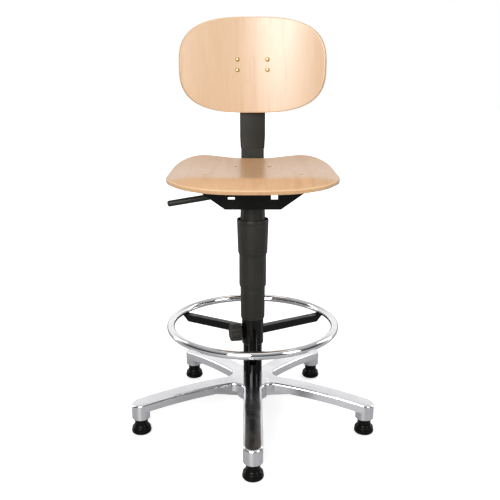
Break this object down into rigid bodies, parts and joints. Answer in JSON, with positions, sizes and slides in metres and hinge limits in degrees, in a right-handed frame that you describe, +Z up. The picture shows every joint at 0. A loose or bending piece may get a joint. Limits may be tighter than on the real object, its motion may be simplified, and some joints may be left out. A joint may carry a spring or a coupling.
{
  "type": "swivel work stool",
  "caption": "High swivel work stool with moulded beech seat and backrest, telescopic gas-spring column, chrome foot ring and star base on glides.",
  "frame": {"origin": "on the floor, under the middle of the column", "axes": "+Z up; -Y is the way the sitter faces; +X is the sitter's left"},
  "size_m": [0.6292, 0.6009, 1.05],
  "materials": {
    "beech_ply": "clear satin lacquer on moulded beech plywood",
    "black_plastic": "fine-grained satin black plastic",
    "black_steel": "black powder coat",
    "gloss_tube": "gloss black paint",
    "polished_aluminium": "polished die casting",
    "chrome": "bright chrome plating",
    "zinc_steel": "zinc-plated steel",
    "bearing_steel": "ground steel",
    "brass": "domed brass-coloured heads",
    "rubber": "black rubber",
    "white_plastic": "natural acetal"
  },
  "bodies": {
    "base": {"base_star": "polished_aluminium", "glides": "black_plastic", "glide_stems": "zinc_steel", "stand_tube": "gloss_tube", "guide_bush": "white_plastic", "cover_clip": "black_plastic", "cover_lower": "black_plastic", "bearing_lower_washer": "bearing_steel", "bearing_balls": "bearing_steel", "bearing_cage": "white_plastic"},
    "spindle": {"piston_rod": "bearing_steel", "piston": "zinc_steel", "bearing_upper_washer": "bearing_steel", "bottom_damper": "rubber", "thrust_washer": "zinc_steel", "retaining_clip": "zinc_steel"},
    "seat_frame": {"gas_cylinder": "gloss_tube", "rod_seal": "rubber", "taper_socket": "zinc_steel", "taper_cover": "black_plastic", "cover_upper": "black_plastic", "mechanism_case": "black_steel", "seat_carrier": "black_steel", "lever_bracket": "black_steel", "lever_pin": "zinc_steel", "pivot_axle": "zinc_steel", "axle_clips": "zinc_steel", "tilt_spring": "bearing_steel", "tilt_stop": "rubber", "seat_spacers": "black_plastic", "seat_panel": "beech_ply", "seat_bolts": "brass", "seat_nuts": "zinc_steel"},
    "cover_stage": {"cover_middle": "black_plastic"},
    "lever": {"lever_rod_bar": "black_steel", "lever_grip_sleeve": "black_plastic"},
    "valve_pin": {"release_pin": "zinc_steel"},
    "back_arm": {"back_bar": "black_steel", "bar_cover": "black_plastic"},
    "back_slide": {"back_sleeve": "black_plastic", "sleeve_cap": "black_plastic", "back_bracket": "black_steel", "backrest_panel": "beech_ply", "back_screws": "brass", "back_nuts": "zinc_steel"},
    "back_clamp": {"back_shoe": "brass"},
    "back_handwheel": {"back_knob": "black_plastic", "back_knob_stud": "zinc_steel"},
    "ring_slider": {"ring_bush": "black_plastic"},
    "ring_frame": {"ring_collar": "black_steel", "ring_arm_front": "black_steel", "ring_arm_right": "black_steel", "ring_arm_left": "black_steel", "foot_ring": "chrome"},
    "ring_clamp": {"clamp_shoe": "brass"},
    "ring_handwheel": {"clamp_knob": "black_plastic", "clamp_stud": "zinc_steel"}
  },
  "joints": [
    {"name": "seat_swivel", "type": "hinge", "parent": "base", "child": "spindle", "pos_m": [0, 0, 0], "axis": [0, 0, 1], "continuous": true},
    {"name": "seat_height", "type": "slide", "parent": "spindle", "child": "seat_frame", "axis": [0, 0, 1], "range_m": [-0.15, 0.012]},
    {"name": "cover_stage_height", "type": "slide", "parent": "base", "child": "cover_stage", "axis": [0, 0, 1], "range_m": [-0.0864, 0.007]},
    {"name": "release_lever", "type": "hinge", "parent": "seat_frame", "child": "lever", "pos_m": [-0.03, 0, 0.606], "axis": [0, 1, 0], "range_deg": [0, 6], "stiffness_Nm_per_rad": 20, "springref_deg": -2.86},
    {"name": "release_pin_press", "type": "slide", "parent": "seat_frame", "child": "valve_pin", "axis": [0, 0, -1], "range_m": [0, 0.0033]},
    {"name": "backrest_tilt", "type": "hinge", "parent": "seat_frame", "child": "back_arm", "pos_m": [0, 0.112, 0.606], "axis": [-1, 0, 0], "range_deg": [0, 10], "stiffness_Nm_per_rad": 150, "springref_deg": -4.58, "deforming": ["tilt_spring"]},
    {"name": "backrest_height", "type": "slide", "parent": "back_arm", "child": "back_slide", "axis": [0, 0, 1], "range_m": [-0.02, 0.07]},
    {"name": "back_clamp_travel", "type": "slide", "parent": "back_slide", "child": "back_clamp", "axis": [0, 1, 0], "range_m": [0, 0.0019]},
    {"name": "back_knob_turn", "type": "hinge", "parent": "back_clamp", "child": "back_handwheel", "pos_m": [0, 0, 0.742], "axis": [0, 1, 0], "range_deg": [0, 540]},
    {"name": "foot_ring_height", "type": "slide", "parent": "base", "child": "ring_slider", "axis": [0, 0, 1], "range_m": [-0.085, 0]},
    {"name": "foot_ring_turn", "type": "hinge", "parent": "ring_slider", "child": "ring_frame", "pos_m": [0, 0, 0], "axis": [0, 0, 1], "continuous": true},
    {"name": "ring_clamp_travel", "type": "slide", "parent": "ring_frame", "child": "ring_clamp", "axis": [-0.9659, -0.2588, 0], "range_m": [0, 0.0019]},
    {"name": "ring_knob_turn", "type": "hinge", "parent": "ring_clamp", "child": "ring_handwheel", "pos_m": [0, 0, 0.2435], "axis": [-0.9659, -0.2588, 0], "range_deg": [0, 540]}
  ],
  "couplings": [
    {"joint": "cover_stage_height", "follows": "seat_height", "ratio": 0.575},
    {"joint": "release_pin_press", "follows": "release_lever", "m_per_rad": 0.03},
    {"joint": "back_clamp_travel", "follows": "back_knob_turn", "m_per_rad": 0.00019894},
    {"joint": "ring_clamp_travel", "follows": "ring_knob_turn", "m_per_rad": 0.00019894}
  ]
}
